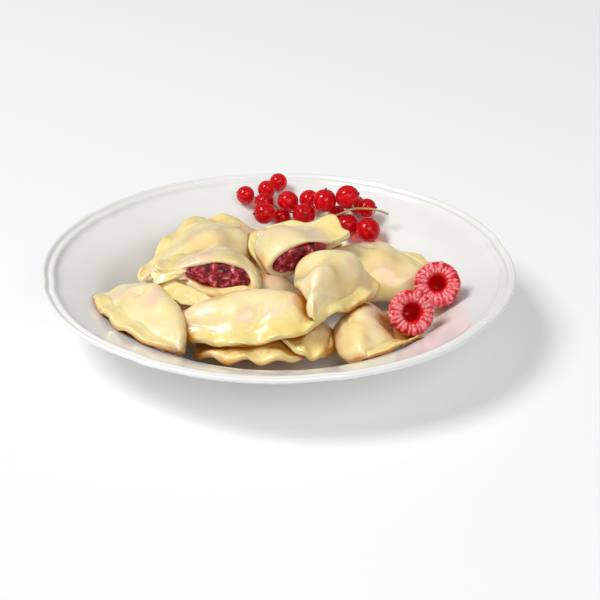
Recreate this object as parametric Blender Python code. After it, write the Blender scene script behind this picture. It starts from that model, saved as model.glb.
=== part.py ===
"""A deep plate of boiled half-moon dumplings with currants and raspberries.

Metres, +Z up. The origin is under the middle of the plate, on the surface it stands on, and
the front of the plate faces -Y. Every dumpling is one soft shell that has settled against
the plate, the berries and the dumplings below it.
"""

import math

import bmesh
import bpy
from mathutils import Euler, Matrix, Vector, noise
from mathutils.bvhtree import BVHTree

MM = 0.001

# ---- driving dimensions, in millimetres -------------------------------------------------

PLATE_RADIUS = 110.0
PLATE_HEIGHT = 34.0
PLATE_LOBES = 8
LOBE_DEPTH = 1.3              # how far the rim swings in and out over one lobe
LOBE_TURN = 12.0              # degrees from +X to the first shoulder
STEPS_PER_LOBE = 8

# Distance from the axis and height of the upper face, from the middle to the rim.
PLATE_INSIDE = ((54.0, 5.4), (63.0, 7.4), (72.0, 12.6), (79.0, 19.2), (85.0, 24.0),
                (103.0, 30.6), (104.6, 32.6), (107.4, 32.2))
# The same for the underside, from the rim back to the foot ring and the middle.
PLATE_OUTSIDE = ((109.2, 31.4), (103.0, 28.0), (88.0, 21.6), (70.0, 8.6),
                 (60.5, 3.4), (55.5, 0.0), (51.5, 0.0), (50.0, 2.2))

DOUGH_GAP = 0.7               # room left between a dumpling and what it rests on
BERRY_GAP = 0.4               # room left between two berries
SETTLE_ROUNDS = 14            # passes in which a dumpling gives way to its neighbours
FIRM_ROUNDS = 5               # last passes, which only clear what still touches
SPREAD = 0.5                  # how far a push spreads through the dough in one pass
LEAST_THICKNESS = 0.6         # part of its thickness that the dough keeps when squeezed
SKY = 200.0                   # a height above everything on the plate
SEAM_THICKNESS = 2.8
WALL = 2.6                    # dough around the filling of a torn dumpling
SEAMWARD = 1.7                # how much closer the hollow's corners lie towards the seam
STATIONS = 15                 # cross-sections from tip to tip
HIDDEN_STATIONS = 11          # the same on a dumpling that lies under the others
NOISE_SEED = 5


# ---- shared helpers ---------------------------------------------------------------------

def clear_scene():
    for item in list(bpy.data.objects):
        bpy.data.objects.remove(item, do_unlink=True)


def smooth_step(low, high, value):
    share = min(max((value - low) / (high - low), 0.0), 1.0)
    return share * share * (3.0 - 2.0 * share)


def make_material(name, colour, roughness, metallic=0.0):
    material = bpy.data.materials.new(name)
    material.use_nodes = True
    shader = material.node_tree.nodes["Principled BSDF"]
    shader.inputs["Base Color"].default_value = (*colour, 1.0)
    shader.inputs["Roughness"].default_value = roughness
    shader.inputs["Metallic"].default_value = metallic
    return material


def placed(at, turn):
    """The place and turn of a piece, from millimetres and degrees."""
    return Matrix.LocRotScale(Vector(at), Euler([math.radians(angle) for angle in turn]), None)


def add_object(name, points, faces, material, place=Matrix.Identity(4)):
    """Make one object from points in millimetres and give it its own place and turn."""
    into_place = place.inverted()
    mesh = bpy.data.meshes.new(name)
    mesh.from_pydata([(into_place @ point) * MM for point in points], [], faces)
    mesh.shade_smooth()
    mesh.set_sharp_from_angle(angle=math.radians(50.0))
    mesh.materials.append(material)
    thing = bpy.data.objects.new(name, mesh)
    thing.location = place.translation * MM
    thing.rotation_euler = place.to_euler()
    bpy.context.scene.collection.objects.link(thing)
    return thing


def loft(rings, first_pole=None, last_pole=None):
    """Join rings of points into outward faces; an end closes on a pole or on a flat cap."""
    size = len(rings[0])
    points = [point for ring in rings for point in ring]
    faces = []
    for row in range(len(rings) - 1):
        for column in range(size):
            beside = (column + 1) % size
            faces.append((row * size + column, (row + 1) * size + column,
                          (row + 1) * size + beside, row * size + beside))
    first = list(range(size))
    last = list(range((len(rings) - 1) * size, len(rings) * size))[::-1]
    for pole, ring in ((first_pole, first), (last_pole, last)):
        if pole is None:
            faces.append(tuple(ring))
            continue
        points.append(pole)
        for here, there in zip(ring, ring[1:] + ring[:1]):
            faces.append((here, there, len(points) - 1))
    return points, faces


def middle_of(points):
    return sum(points, Vector()) / len(points)


# ---- plate ------------------------------------------------------------------------------

def lobe_swing(angle):
    """Rim radius added at an angle: a shallow bulge per lobe, with a small step between two."""
    share = ((math.degrees(angle) - LOBE_TURN) * PLATE_LOBES / 360.0) % 1.0
    bulge = math.sin(math.pi * share) ** 0.7 - 0.6
    shoulder = 0.8 * math.exp(-((share - 0.06) / 0.05) ** 2)
    return LOBE_DEPTH * (bulge + shoulder)


def plate_ring(radius, height, steps):
    ring = []
    for step in range(steps):
        angle = 2.0 * math.pi * step / steps
        reach = radius + lobe_swing(angle) * smooth_step(93.0, 104.0, radius)
        ring.append(Vector((reach * math.cos(angle), reach * math.sin(angle), height)))
    return ring


def plate_height(radius):
    """Height of the plate's upper face at a distance from its axis."""
    inner_radius, inner_height = PLATE_INSIDE[0]
    if radius <= inner_radius:
        return inner_height
    for outer_radius, outer_height in PLATE_INSIDE[1:]:
        if radius <= outer_radius:
            share = (radius - inner_radius) / (outer_radius - inner_radius)
            return inner_height + share * (outer_height - inner_height)
        inner_radius, inner_height = outer_radius, outer_height
    return PLATE_HEIGHT


def build_plate():
    steps = PLATE_LOBES * STEPS_PER_LOBE
    rim = ((PLATE_RADIUS - 1.4, PLATE_HEIGHT), (PLATE_RADIUS, PLATE_HEIGHT - 1.3))
    outline = PLATE_INSIDE + rim + PLATE_OUTSIDE
    rings = [plate_ring(radius, height, steps) for radius, height in outline]
    points, faces = loft(rings)
    add_object("plate", points, faces, make_material("porcelain", (0.86, 0.86, 0.83), 0.22))


# ---- currants ---------------------------------------------------------------------------

# Place and radius of each berry of the sprig, which lies on the back of the plate.
CURRANTS = (
    ((0, 96, 34), 4.7), ((-6, 88, 33), 4.7), ((-17, 86, 31), 4.7), ((40, 76, 30), 4.6),
    ((45, 67, 32), 4.8), ((16, 82, 30), 5.2), ((35, 67, 38), 6.1), ((30, 73, 26), 4.6),
    ((2, 75, 23), 4.6), ((-7, 79, 30), 5.2), ((-7, 67, 29), 5.6), ((5, 73, 33), 5.4),
    ((24, 71, 34), 6.0), ((13, 65, 29), 5.8), ((35, 63, 24), 5.8), ((45, 55, 25), 6.3),
)


def part_berries(berries):
    """Move overlapping berries apart until each pair keeps its gap."""
    places = [Vector(at) for at, _ in berries]
    for _ in range(30):
        for here, (_, radius) in enumerate(berries):
            for there in range(here):
                apart = places[here] - places[there]
                short = radius + berries[there][1] + BERRY_GAP - apart.length
                if short > 0.0:
                    places[here] += apart.normalized() * short * 0.5
                    places[there] -= apart.normalized() * short * 0.5
    return [(place, radius) for place, (_, radius) in zip(places, berries)]


def build_currant(name, at, radius):
    ball = bmesh.new()
    bmesh.ops.create_icosphere(ball, subdivisions=2, radius=radius)
    points = [at + corner.co for corner in ball.verts]
    faces = [tuple(corner.index for corner in face.verts) for face in ball.faces]
    ball.free()
    material = make_material(name, (0.62, 0.02, 0.02), 0.12)
    add_object(name, points, faces, material, placed(at, (0, 0, 0)))


# Way of the sprig's free stalk past the berries on the right, and how thick it is there.
STALK = (((35.6, 59.4, 35.6), 0.6), ((38.0, 60.6, 34.6), 0.65), ((42.4, 60.5, 34.4), 0.6),
         ((48.6, 59.5, 34.6), 0.55), ((53.6, 57.8, 33.4), 0.6), ((55.6, 57.0, 32.7), 0.85))
STALK_STEPS = 6


def build_stalk():
    places = [Vector(at) for at, _ in STALK]
    rings = []
    for index, (_, radius) in enumerate(STALK):
        ahead = places[min(index + 1, len(places) - 1)] - places[max(index - 1, 0)]
        turn = ahead.to_track_quat("X", "Z")
        ring = []
        for step in range(STALK_STEPS):
            angle = 2.0 * math.pi * step / STALK_STEPS
            across = Vector((0.0, radius * math.cos(angle), -radius * math.sin(angle)))
            ring.append(places[index] + turn @ across)
        rings.append(ring)
    points, faces = loft(rings)
    material = make_material("currant_stalk", (0.52, 0.42, 0.20), 0.6)
    add_object("currant_stalk", points, faces, material, placed(places[0], (0, 0, 0)))


# ---- how soft dough settles -------------------------------------------------------------

def off_plate(point):
    """Shift that lifts a point clear of the plate."""
    floor = plate_height(math.hypot(point.x, point.y)) + DOUGH_GAP
    return Vector((0.0, 0.0, max(floor - point.z, 0.0)))


def off_ball(point, middle, radius):
    """Shift that moves a point clear of a round berry."""
    away = point - middle
    depth = radius + DOUGH_GAP - away.length
    return away.normalized() * max(depth, 0.0)


def off_dough(point, tree, middle, aside_too):
    """Shortest shift that takes a point clear of a lower dumpling: up, straight out or aside."""
    near, normal, _, distance = tree.find_nearest(point)
    top = tree.ray_cast(Vector((point.x, point.y, SKY)), Vector((0.0, 0.0, -1.0)))[0]
    if top is None or point.z > top.z + DOUGH_GAP:
        return (point - near).normalized() * max(DOUGH_GAP - distance, 0.0)
    ways = [Vector((0.0, 0.0, top.z + DOUGH_GAP - point.z))]
    inward = (point - near).dot(normal) < -0.7 * distance
    if inward and normal.z > -0.2:
        ways.append(near + normal * DOUGH_GAP - point)
    if aside_too:
        aside = Vector((point.x - middle.x, point.y - middle.y, 0.0)).normalized()
        edge = tree.ray_cast(point + aside * SKY, -aside)[0]
        if edge is not None:
            ways.append(edge + aside * DOUGH_GAP - point)
    return min(ways, key=lambda way: way.length)


def way_clear(point, berries, lower, aside_too):
    """Longest of the shifts that the plate, the berries and the lower dumplings ask for."""
    shifts = [off_plate(point)]
    for middle, radius in berries:
        if (point - middle).length < radius + DOUGH_GAP:
            shifts.append(off_ball(point, middle, radius))
    for tree, middle, reach in lower:
        if (point - middle).length < reach:
            shifts.append(off_dough(point, tree, middle, aside_too))
    return max(shifts, key=lambda shift: shift.length)


def sample_groups(count, faces):
    """Corners, edge middles and face middles, each as the corners that it hangs on."""
    groups = {(index,) for index in range(count)}
    for face in faces:
        groups.add(tuple(sorted(face)))
        for here, there in zip(face, face[1:] + face[:1]):
            groups.add(tuple(sorted((here, there))))
    return sorted(groups)


def linked_corners(count, faces, partners):
    links = [set() for _ in range(count)]
    for face in faces:
        for here, there in zip(face, face[1:] + face[:1]):
            links[here].add(there)
            links[there].add(here)
    for here, there in partners:
        links[here].add(there)
        links[there].add(here)
    return [sorted(link) for link in links]


def keep_thick(points, rest, partners):
    """Move the far side of the dough along where a push has squeezed it too thin."""
    for upper, under in partners:
        across = rest[upper] - rest[under]
        if across.z < 0.0:
            upper, under, across = under, upper, -across
        left = (points[upper] - points[under]).dot(across.normalized())
        short = LEAST_THICKNESS * across.length - left
        if short > 0.0:
            points[upper] += across.normalized() * short


def seat_mouths(points, rest, columns):
    """Put the end of every seam back between its two layers of dough."""
    half = columns // 2
    for start in range(0, len(rest) - columns + 1, columns):
        spots = [[(cloud[start + half - step] + cloud[start + half + step]) / 2.0 for step in (2, 1)]
                 for cloud in (rest, points)]
        (root, edge), (new_root, new_edge) = spots
        along = edge - root
        share = (rest[start + half] - root).dot(along) / along.length_squared
        points[start + half] = new_root.lerp(new_edge, share)


def settle(rest, faces, partners, columns, berries, lower, aside_too):
    """Let a dumpling give way until it clears everything that it lies on."""
    points = [point.copy() for point in rest]
    groups = sample_groups(len(points), faces)
    links = linked_corners(len(points), faces, partners)
    for turn in range(SETTLE_ROUNDS + FIRM_ROUNDS):
        shifts = [Vector() for _ in points]
        for group in groups:
            spot = middle_of([points[index] for index in group])
            shift = way_clear(spot, berries, lower, aside_too)
            for index in group:
                if shift.length > shifts[index].length:
                    shifts[index] = shift
        points = [point + shift for point, shift in zip(points, shifts)]
        if turn < SETTLE_ROUNDS:
            moves = [point - start for point, start in zip(points, rest)]
            for index, link in enumerate(links):
                around = middle_of([moves[other] for other in link])
                points[index] = rest[index] + moves[index].lerp(around, SPREAD)
        keep_thick(points, rest, partners)
        seat_mouths(points, rest, columns)
    return points


def note_dough(points, faces, lower):
    """Add a settled dumpling to those that the next ones lie on."""
    middle = middle_of(points)
    reach = max((point - middle).length for point in points) + 3.0
    lower.append((BVHTree.FromPolygons(points, faces), middle, reach))


# ---- half-moon dumplings ----------------------------------------------------------------

FORM = {
    "seam_curve": 0.72,       # how pointed the seam's arc is towards the tips
    "seam_share": 0.70,       # part of the width on the seam's side of the spine
    "skew": 0.0,              # how far along the spine the widest place has moved
    "lip": 7.5,               # width of the flat pressed seam
    "ripple": 1.4,            # waves of the seam
    "waves": 4.0,
    "phase": 0.0,
    "top_share": 0.6,         # part of the belly above the seam's plane
    "droop": 3.0,             # how far the seam hangs below the spine
    "ear": 0.0,               # how far a short length of the seam stands up
    "ear_at": -0.5,
    "twist": 0.0,             # degrees between the middle and a tip
    "bend": 0.0,              # how far the tips swing towards the seam
    "sag": 4.0,               # how far the tips hang down
    "lump": 1.0,
    "gape": 0.0,              # how far the two layers of a torn seam stand apart
    "notch": 0.0,             # how deep that opening goes
    "torn_lip": 0.0,          # how far the lower layer reaches out of the tear
    "end": 1.0,               # where a torn dumpling stops along its length
    "stations": STATIONS,
    "aside_too": True,        # whether it may also give way sideways, or only upwards
}
BELLY_SHARES = (0.06, 0.28, 0.62, 1.0)    # places across the belly, from the fold to the seam
TIP = Vector((1.5, 0.0, 0.0))             # how far a tip reaches past the last section


def belly_span(along, size, form):
    """Where the fold, the seam's root and the seam's edge lie, and how thick the belly is."""
    skewed = along - form["skew"] * (1.0 - along * along)
    closing = max(1.0 - skewed * skewed, 0.0)
    seam = form["seam_share"] * size[1] * closing ** form["seam_curve"]
    fold = (form["seam_share"] - 1.0) * size[1] * closing ** 0.8
    root = seam - min(form["lip"], 0.42 * (seam - fold))
    belly = max(size[2] * (1.0 - abs(along) ** 2.4) ** 0.85, SEAM_THICKNESS)
    return fold, root, seam, belly


def section(along, size, form):
    """One cross-section: the ring starts at the fold, crosses the top to the seam and returns."""
    fold, root, seam, belly = belly_span(along, size, form)
    closing = max(1.0 - along * along, 0.0)
    ripple = form["ripple"] * math.sin(form["waves"] * math.pi * along + form["phase"])
    torn = smooth_step(form["end"] - 0.5, form["end"], along)
    upper, lower = [], []
    for share in BELLY_SHARES:
        bulge = math.sin(math.pi * min(share, 0.97) ** 0.85) ** 0.75
        thick = SEAM_THICKNESS + (belly - SEAM_THICKNESS) * bulge
        y = fold + (root - fold) * share
        upper.append((y, thick * form["top_share"]))
        lower.append((y, -thick * (1.0 - form["top_share"])))
    ear = form["ear"] * math.exp(-((along - form["ear_at"]) / 0.3) ** 2)
    edge = seam + 0.5 * ripple + 0.3 * ear
    for share in (0.5, 1.0):
        y = root + (edge - root) * share
        level = (ripple + ear - form["droop"] * closing) * share
        part = 0.5 * (SEAM_THICKNESS + form["gape"] * torn * share)
        upper.append((y, part + level))
        lower.append((y, -part + level))
    mouth = (edge + 0.6 - form["notch"] * torn, level)
    return [(fold - 0.03 * size[1] * closing, 0.0)] + upper + [mouth] + lower[::-1]


def bent(along, y, z, size, form):
    """Carry a point of a section to its place on the bent, sagging and twisted spine."""
    turn = math.radians(form["twist"]) * along
    return Vector((0.5 * size[0] * along,
                   y * math.cos(turn) - z * math.sin(turn) + form["bend"] * along * along,
                   y * math.sin(turn) + z * math.cos(turn) - form["sag"] * along * along))


def stations(count, end):
    """Places along the spine, closer together towards a whole tip."""
    shares = [2.0 * station / count - 1.0 for station in range(1, count)]
    places = [share * (1.2 - 0.2 * share * share) for share in shares]
    if end < 1.0:
        places = [place for place in places if place < end - 0.05] + [end]
    return places


def half_moon(alongs, size, form):
    """The rings of a dumpling at places along its spine."""
    return [[bent(along, y, z, size, form) for y, z in section(along, size, form)] for along in alongs]


def roughen(points, amount, seed):
    """Push points in and out a little, so that no two dumplings are alike."""
    shift = Vector((17.3 * seed, -9.1 * seed, 5.7 * seed))
    return [point + amount * noise.noise_vector(point / 14.0 + shift) for point in points]


def facing_corners(rows, columns):
    """Pairs of corners that face each other through the dough."""
    return [(row * columns + column, row * columns + columns - column)
            for row in range(rows) for column in range(1, (columns + 1) // 2)]


def dough_material(name, seed):
    tint = 0.02 * math.sin(2.7 * seed)
    return make_material(name, (0.86 + tint, 0.70 + tint, 0.42 + tint), 0.32)


def build_dumpling(name, at, turn, size, seed, berries, lower, **changes):
    form = {**FORM, **changes}
    rings = half_moon(stations(form["stations"], 1.0), size, form)
    points, faces = loft(rings, middle_of(rings[0]) - TIP, middle_of(rings[-1]) + TIP)
    place = placed(at, turn)
    rest = [place @ point for point in roughen(points, form["lump"], seed)]
    columns = len(rings[0])
    partners = facing_corners(len(rings), columns)
    world = settle(rest, faces, partners, columns, berries, lower, form["aside_too"])
    add_object(name, world, faces, dough_material(name, seed), place)
    note_dough(world, faces, lower)


# ---- torn dumplings and their filling ---------------------------------------------------

def cavity_section(along, size, form, columns):
    """Ring of the filling's hollow, level with the belly and one wall inside it."""
    fold, root, _, belly = belly_span(along, size, form)
    half_width = 0.5 * (root - fold) - WALL
    above = belly * form["top_share"] - WALL
    below = belly * (1.0 - form["top_share"]) - WALL
    ring = []
    for column in range(columns):
        share = 2.0 * column / columns
        side = 1.0 if share <= 1.0 else -1.0
        angle = side * math.pi * (1.0 - min(share, 2.0 - share)) ** SEAMWARD
        height = above if math.sin(angle) > 0.0 else below
        across = math.copysign(abs(math.cos(angle)) ** 0.8, math.cos(angle))
        ring.append((0.5 * (root + fold) + half_width * across, height * math.sin(angle)))
    return ring, min(half_width, above, below)


def keep_wall(point, skin):
    """Hold a point of the hollow at least half a wall inside the dough's outer skin."""
    near, normal, _, _ = skin.find_nearest(point)
    short = 0.5 * WALL + (point - near).dot(normal)
    return point - normal * max(short, 0.0)


def pull_lip(ring, outward, reach):
    """Draw the lower half of a torn edge outwards."""
    level = middle_of(ring).z
    return [point + outward * reach * smooth_step(0.0, 4.0, level - point.z) for point in ring]


def build_torn(name, at, turn, size, seed, berries, lower, **changes):
    """Half a dumpling, open where it was torn, and the filling that runs through it."""
    form = {**FORM, **changes}
    place = placed(at, turn)
    alongs = stations(form["stations"], form["end"])
    outer = half_moon(alongs, size, form)
    columns = len(outer[0])
    points, shell_faces = loft(outer, middle_of(outer[0]) - TIP)
    rest = [place @ point for point in roughen(points, form["lump"], seed)]
    outward = (place.to_3x3() @ Vector((1.0, 0.0, 0.0))).normalized()
    edge = slice((len(outer) - 1) * columns, len(outer) * columns)
    rest[edge] = pull_lip(rest[edge], outward, form["torn_lip"])
    partners = facing_corners(len(outer), columns)
    world = settle(rest, shell_faces, partners, columns, berries, lower, False)
    moves = [point - start for point, start in zip(world, rest)]
    skin = BVHTree.FromPolygons(world, shell_faces[:-1])
    inner = []
    for row, along in enumerate(alongs):
        ring, room = cavity_section(along, size, form, columns)
        if room < 1.5:
            continue
        carried = [place @ bent(along, y, z, size, form) + moves[row * columns + column]
                   for column, (y, z) in enumerate(ring)]
        inner.append([keep_wall(point, skin) for point in carried])
    shell = [world[row * columns:(row + 1) * columns] for row in range(len(alongs))]
    hollow = inner[:-1] + [pull_lip(inner[-1], outward, 0.9 * form["torn_lip"])]
    points, faces = loft(shell + hollow[::-1], world[len(alongs) * columns], middle_of(inner[0]))
    add_object(name, points, faces, dough_material(name, seed), place)
    build_filling(name + "_filling", inner, place, berries, lower)
    note_dough(world, shell_faces, lower)


def build_filling(name, hollow, place, berries, lower):
    """Berry mass that fills a hollow, a little clear of its wall and proud of the tear."""
    rings = []
    for ring in hollow:
        middle = middle_of(ring)
        rings.append([point.lerp(middle, 0.7 / max((point - middle).length, 1.4)) for point in ring])
    outward = (middle_of(hollow[-1]) - middle_of(hollow[-2])).normalized()
    mouth = middle_of(hollow[-1])
    for reach, share in ((0.7, 0.92), (1.4, 0.6)):
        rings.append([mouth + (point - mouth) * share + outward * reach for point in rings[len(hollow) - 1]])
    points, faces = loft(rings, middle_of(rings[0]), mouth + outward * 1.8)
    points = [point + way_clear(point, berries, lower, False) for point in points]
    add_object(name, points, faces, make_material(name, (0.30, 0.02, 0.06), 0.4), place)


# ---- raspberries ------------------------------------------------------------------------

RASPBERRY_ROWS = 8
RASPBERRY_STEPS = 16
# Rings of the hollow, from its lip down: depth in parts of the length, width in parts of the mouth.
RASPBERRY_HOLLOW = ((0.06, 1.25), (0.0, 1.0), (-0.35, 0.85), (-0.6, 0.5))


def raspberry_point(row, step, radius, length):
    """Point on the knobbly outside, from the open end at row 0 to the closed tip."""
    share = row / RASPBERRY_ROWS
    tilt = 0.5 * math.pi * (share ** 1.1) * 0.94
    knob = 1.0 + 0.07 * math.cos(math.pi * (step + row))
    angle = 2.0 * math.pi * step / RASPBERRY_STEPS
    waist = 0.93 + 0.07 * math.sin(math.pi * min(3.0 * share, 1.0))
    reach = radius * knob * waist * math.cos(tilt) ** 0.75
    return Vector((reach * math.cos(angle), reach * math.sin(angle), -length * math.sin(tilt)))


def hollow_ring(depth, width):
    ring = []
    for step in range(RASPBERRY_STEPS):
        angle = 2.0 * math.pi * step / RASPBERRY_STEPS
        ring.append(Vector((width * math.cos(angle), width * math.sin(angle), depth)))
    return ring


def build_raspberry(name, at, turn, radius, length, mouth):
    """A hollow cup of drupelets; at is the middle of its open end, which faces +Z before the turn."""
    place = placed(at, turn)
    outside = [[raspberry_point(row, step, radius, length) for step in range(RASPBERRY_STEPS)]
               for row in range(RASPBERRY_ROWS)]
    inside = [hollow_ring(depth * length, share * mouth) for depth, share in RASPBERRY_HOLLOW]
    deepest = Vector((0.0, 0.0, -0.66 * length))
    points, faces = loft(inside[::-1] + outside, deepest, Vector((0.0, 0.0, -length)))
    material = make_material(name, (0.60, 0.06, 0.10), 0.5)
    add_object(name, [place @ point for point in points], faces, material, place)


# ---- the plateful -----------------------------------------------------------------------

RASPBERRIES = (
    ("raspberry_front", (59.5, -49, 32.5), (62, 0, 14), 10.6, 17.0, 4.6),
    ("raspberry_back", (72.6, -21.3, 33.4), (50, 0, -5), 11.0, 18.0, 4.2),
)
WHOLE = (
    ("dumpling_left", (-61, -40, 26), (22, 0, 124), (70, 31, 22), 1, {"seam_share": 0.48}),
    ("dumpling_front", (-11, -47.5, 17), (16, 0, 180), (56, 30, 16), 2, {}),
    ("dumpling_front_right", (39, -45, 19), (6, 0, -97), (57, 36, 21), 3, {"seam_share": 0.62}),
    ("dumpling_front_gap", (10, -45, 20), (0, 0, 190), (33, 25, 13), 4,
     {"stations": HIDDEN_STATIONS}),
    ("dumpling_back_right", (42, 9, 20), (14, 0, -8), (74, 44, 24), 5, {}),
    ("dumpling_back_left", (-33, 24, 23), (24, 0, 33), (79, 42, 21), 6, {"seam_curve": 0.72, "skew": 0.3}),
    ("dumpling_back", (7, 32, 25), (0, 0, 175), (54, 30, 16), 10, {"stations": HIDDEN_STATIONS}),
    ("dumpling_middle", (-17, -15, 17), (0, 0, 8), (72, 36, 20), 7, {"stations": HIDDEN_STATIONS}),
    ("dumpling_long", (-14, -43, 30), (-10, 5, 180), (72, 30, 14), 8,
     {"seam_curve": 0.45, "droop": 1.0, "sag": 2.0}),
    ("dumpling_right", (18, -31, 39), (-8, 4, -98), (53, 38, 20), 9,
     {"seam_curve": 0.85, "skew": -0.3, "aside_too": False}),
)
TORN = (
    ("dumpling_torn_left", (-28, -22, 38), (172, 0, -90), (60, 46, 18), 11,
     {"end": 0.1, "seam_share": 0.6, "lip": 11.0, "gape": 5.0, "notch": 4.0,
      "top_share": 0.45, "sag": -6.0, "droop": -2.0,
      "torn_lip": 5.0}),
    ("dumpling_torn_right", (5, -7, 40), (10, 8, -63), (60, 42, 17), 12,
     {"end": 0.1, "top_share": 0.52, "droop": 0.5, "sag": 4.0, "lip": 9.0,
      "ear": 4.5, "ear_at": -0.3}),
)


def build():
    clear_scene()
    noise.seed_set(NOISE_SEED)
    build_plate()
    currants = part_berries(CURRANTS)
    for number, (at, radius) in enumerate(currants, 1):
        build_currant(f"currant_{number:02d}", at, radius)
    build_stalk()
    berries = list(currants)
    for name, at, turn, radius, length, mouth in RASPBERRIES:
        build_raspberry(name, at, turn, radius, length, mouth)
        axis = placed((0, 0, 0), turn) @ Vector((0, 0, 1))
        berries.append((Vector(at) - axis * 0.2 * length, radius * 1.12))
        berries.append((Vector(at) - axis * 0.5 * length, radius * 0.98))
    lower = []
    for name, at, turn, size, seed, changes in WHOLE:
        build_dumpling(name, at, turn, size, seed, berries, lower, **changes)
    for name, at, turn, size, seed, changes in TORN:
        build_torn(name, at, turn, size, seed, berries, lower, **changes)


build()
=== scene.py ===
"""A deep plate of boiled half-moon dumplings with a sprig of currants and two raspberries."""

import math

import bmesh
import bpy
from mathutils import Euler, Matrix, Vector, noise
from mathutils.bvhtree import BVHTree


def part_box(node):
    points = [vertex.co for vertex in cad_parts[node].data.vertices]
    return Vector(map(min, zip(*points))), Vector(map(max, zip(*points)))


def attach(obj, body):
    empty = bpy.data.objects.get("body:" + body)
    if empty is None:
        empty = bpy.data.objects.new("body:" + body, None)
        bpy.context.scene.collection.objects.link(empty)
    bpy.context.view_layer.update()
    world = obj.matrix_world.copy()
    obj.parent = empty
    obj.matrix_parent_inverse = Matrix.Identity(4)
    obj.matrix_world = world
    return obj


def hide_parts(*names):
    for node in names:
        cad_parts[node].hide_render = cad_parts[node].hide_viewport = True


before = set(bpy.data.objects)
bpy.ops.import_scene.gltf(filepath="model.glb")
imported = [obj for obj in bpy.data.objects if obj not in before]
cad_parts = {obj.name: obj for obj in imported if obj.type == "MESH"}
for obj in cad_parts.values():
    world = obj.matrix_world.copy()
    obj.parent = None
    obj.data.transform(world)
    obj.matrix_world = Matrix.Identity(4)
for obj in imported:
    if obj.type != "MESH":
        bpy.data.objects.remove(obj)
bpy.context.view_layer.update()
noise.seed_set(4)
mm = 0.001

# ---- Plate ------------------------------------------------------------------------------
# A deep plate of white porcelain, pressed in a mould and glazed all over. Its wide slope ends
# in a low bead with a fine groove inside it, and the rim runs in eight shallow lobes.

rim_reach = 110.28            # from the middle to the widest lobe, in mm
plate_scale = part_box("plate")[1].x / (rim_reach * mm)
rim_lobes = 8
lobe_depth = 1.3              # how far a lobe swings the rim in and out, in mm
lobe_turn = 12.0              # where the first lobe starts, in degrees
plate_steps = 128

# Radius and height of the outline, from the middle of the well over the rim to the underside.
plate_outline = (
    (0.0, 5.4), (6.0, 5.4), (12.0, 5.4), (18.0, 5.4), (24.0, 5.4), (30.0, 5.4), (36.0, 5.4),
    (42.0, 5.4), (47.5, 5.4), (53.0, 5.5), (58.0, 6.0), (63.0, 7.4), (67.5, 9.8), (72.0, 13.0),
    (75.5, 16.2), (79.0, 19.3), (82.0, 22.0), (85.5, 24.2), (90.0, 26.1), (96.0, 28.2),
    (100.5, 29.7), (102.6, 30.6), (103.5, 31.6), (104.3, 32.6), (105.3, 32.8), (106.2, 32.5),
    (106.8, 32.1), (107.5, 32.5), (108.2, 33.5), (109.0, 33.95), (109.8, 33.4), (110.0, 32.4),
    (109.4, 31.4), (107.0, 30.2), (103.0, 28.4), (96.0, 25.6), (88.0, 21.6), (82.0, 16.6),
    (76.0, 11.6), (70.0, 8.0), (64.0, 5.0), (60.0, 3.0), (57.2, 0.9), (56.2, 0.05), (54.6, 0.0),
    (52.6, 0.0), (51.2, 0.3), (50.2, 1.7), (48.0, 2.2), (30.0, 2.3), (0.0, 2.3),
)


def smooth_step(low, high, value):
    share = min(max((value - low) / (high - low), 0.0), 1.0)
    return share * share * (3.0 - 2.0 * share)


def lobe_swing(angle):
    """Rim radius added at an angle: a shallow bulge per lobe, with a small shoulder between two."""
    share = ((math.degrees(angle) - lobe_turn) * rim_lobes / 360.0) % 1.0
    bulge = math.sin(math.pi * share) ** 0.7 - 0.6
    shoulder = 0.8 * math.exp(-((share - 0.06) / 0.05) ** 2)
    return lobe_depth * (bulge + shoulder)


def new_piece(name, shape, smooth=True):
    """An object at the origin from a bmesh, which is used up."""
    mesh = bpy.data.meshes.new(name)
    shape.to_mesh(mesh)
    shape.free()
    if smooth:
        mesh.shade_smooth()
    piece = bpy.data.objects.new(name, mesh)
    bpy.context.scene.collection.objects.link(piece)
    return piece


def new_finish(name):
    """A node material: the material, its shader and a function that adds a node."""
    finish = bpy.data.materials.new(name)
    finish.use_nodes = True
    tree = finish.node_tree

    def add(kind, **inputs):
        node = tree.nodes.new(kind)
        for socket, value in inputs.items():
            key = socket.replace("_", " ")
            if isinstance(value, bpy.types.NodeSocket):
                tree.links.new(value, node.inputs[key])
            else:
                node.inputs[key].default_value = value
        return node

    return finish, tree.nodes["Principled BSDF"], add


def join_to(finish, source, target):
    finish.node_tree.links.new(source, target)


def shades(add, source, stops):
    """A colour ramp over a value, from (place, colour) stops."""
    node = add("ShaderNodeValToRGB", Fac=source)
    ramp = node.color_ramp
    while len(ramp.elements) < len(stops):
        ramp.elements.new(0.5)
    for element, (place, colour) in zip(ramp.elements, stops):
        element.position = place
        element.color = (*colour, 1.0)
    return node.outputs["Color"]


def object_place(add):
    return add("ShaderNodeTexCoord").outputs["Object"]


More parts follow.
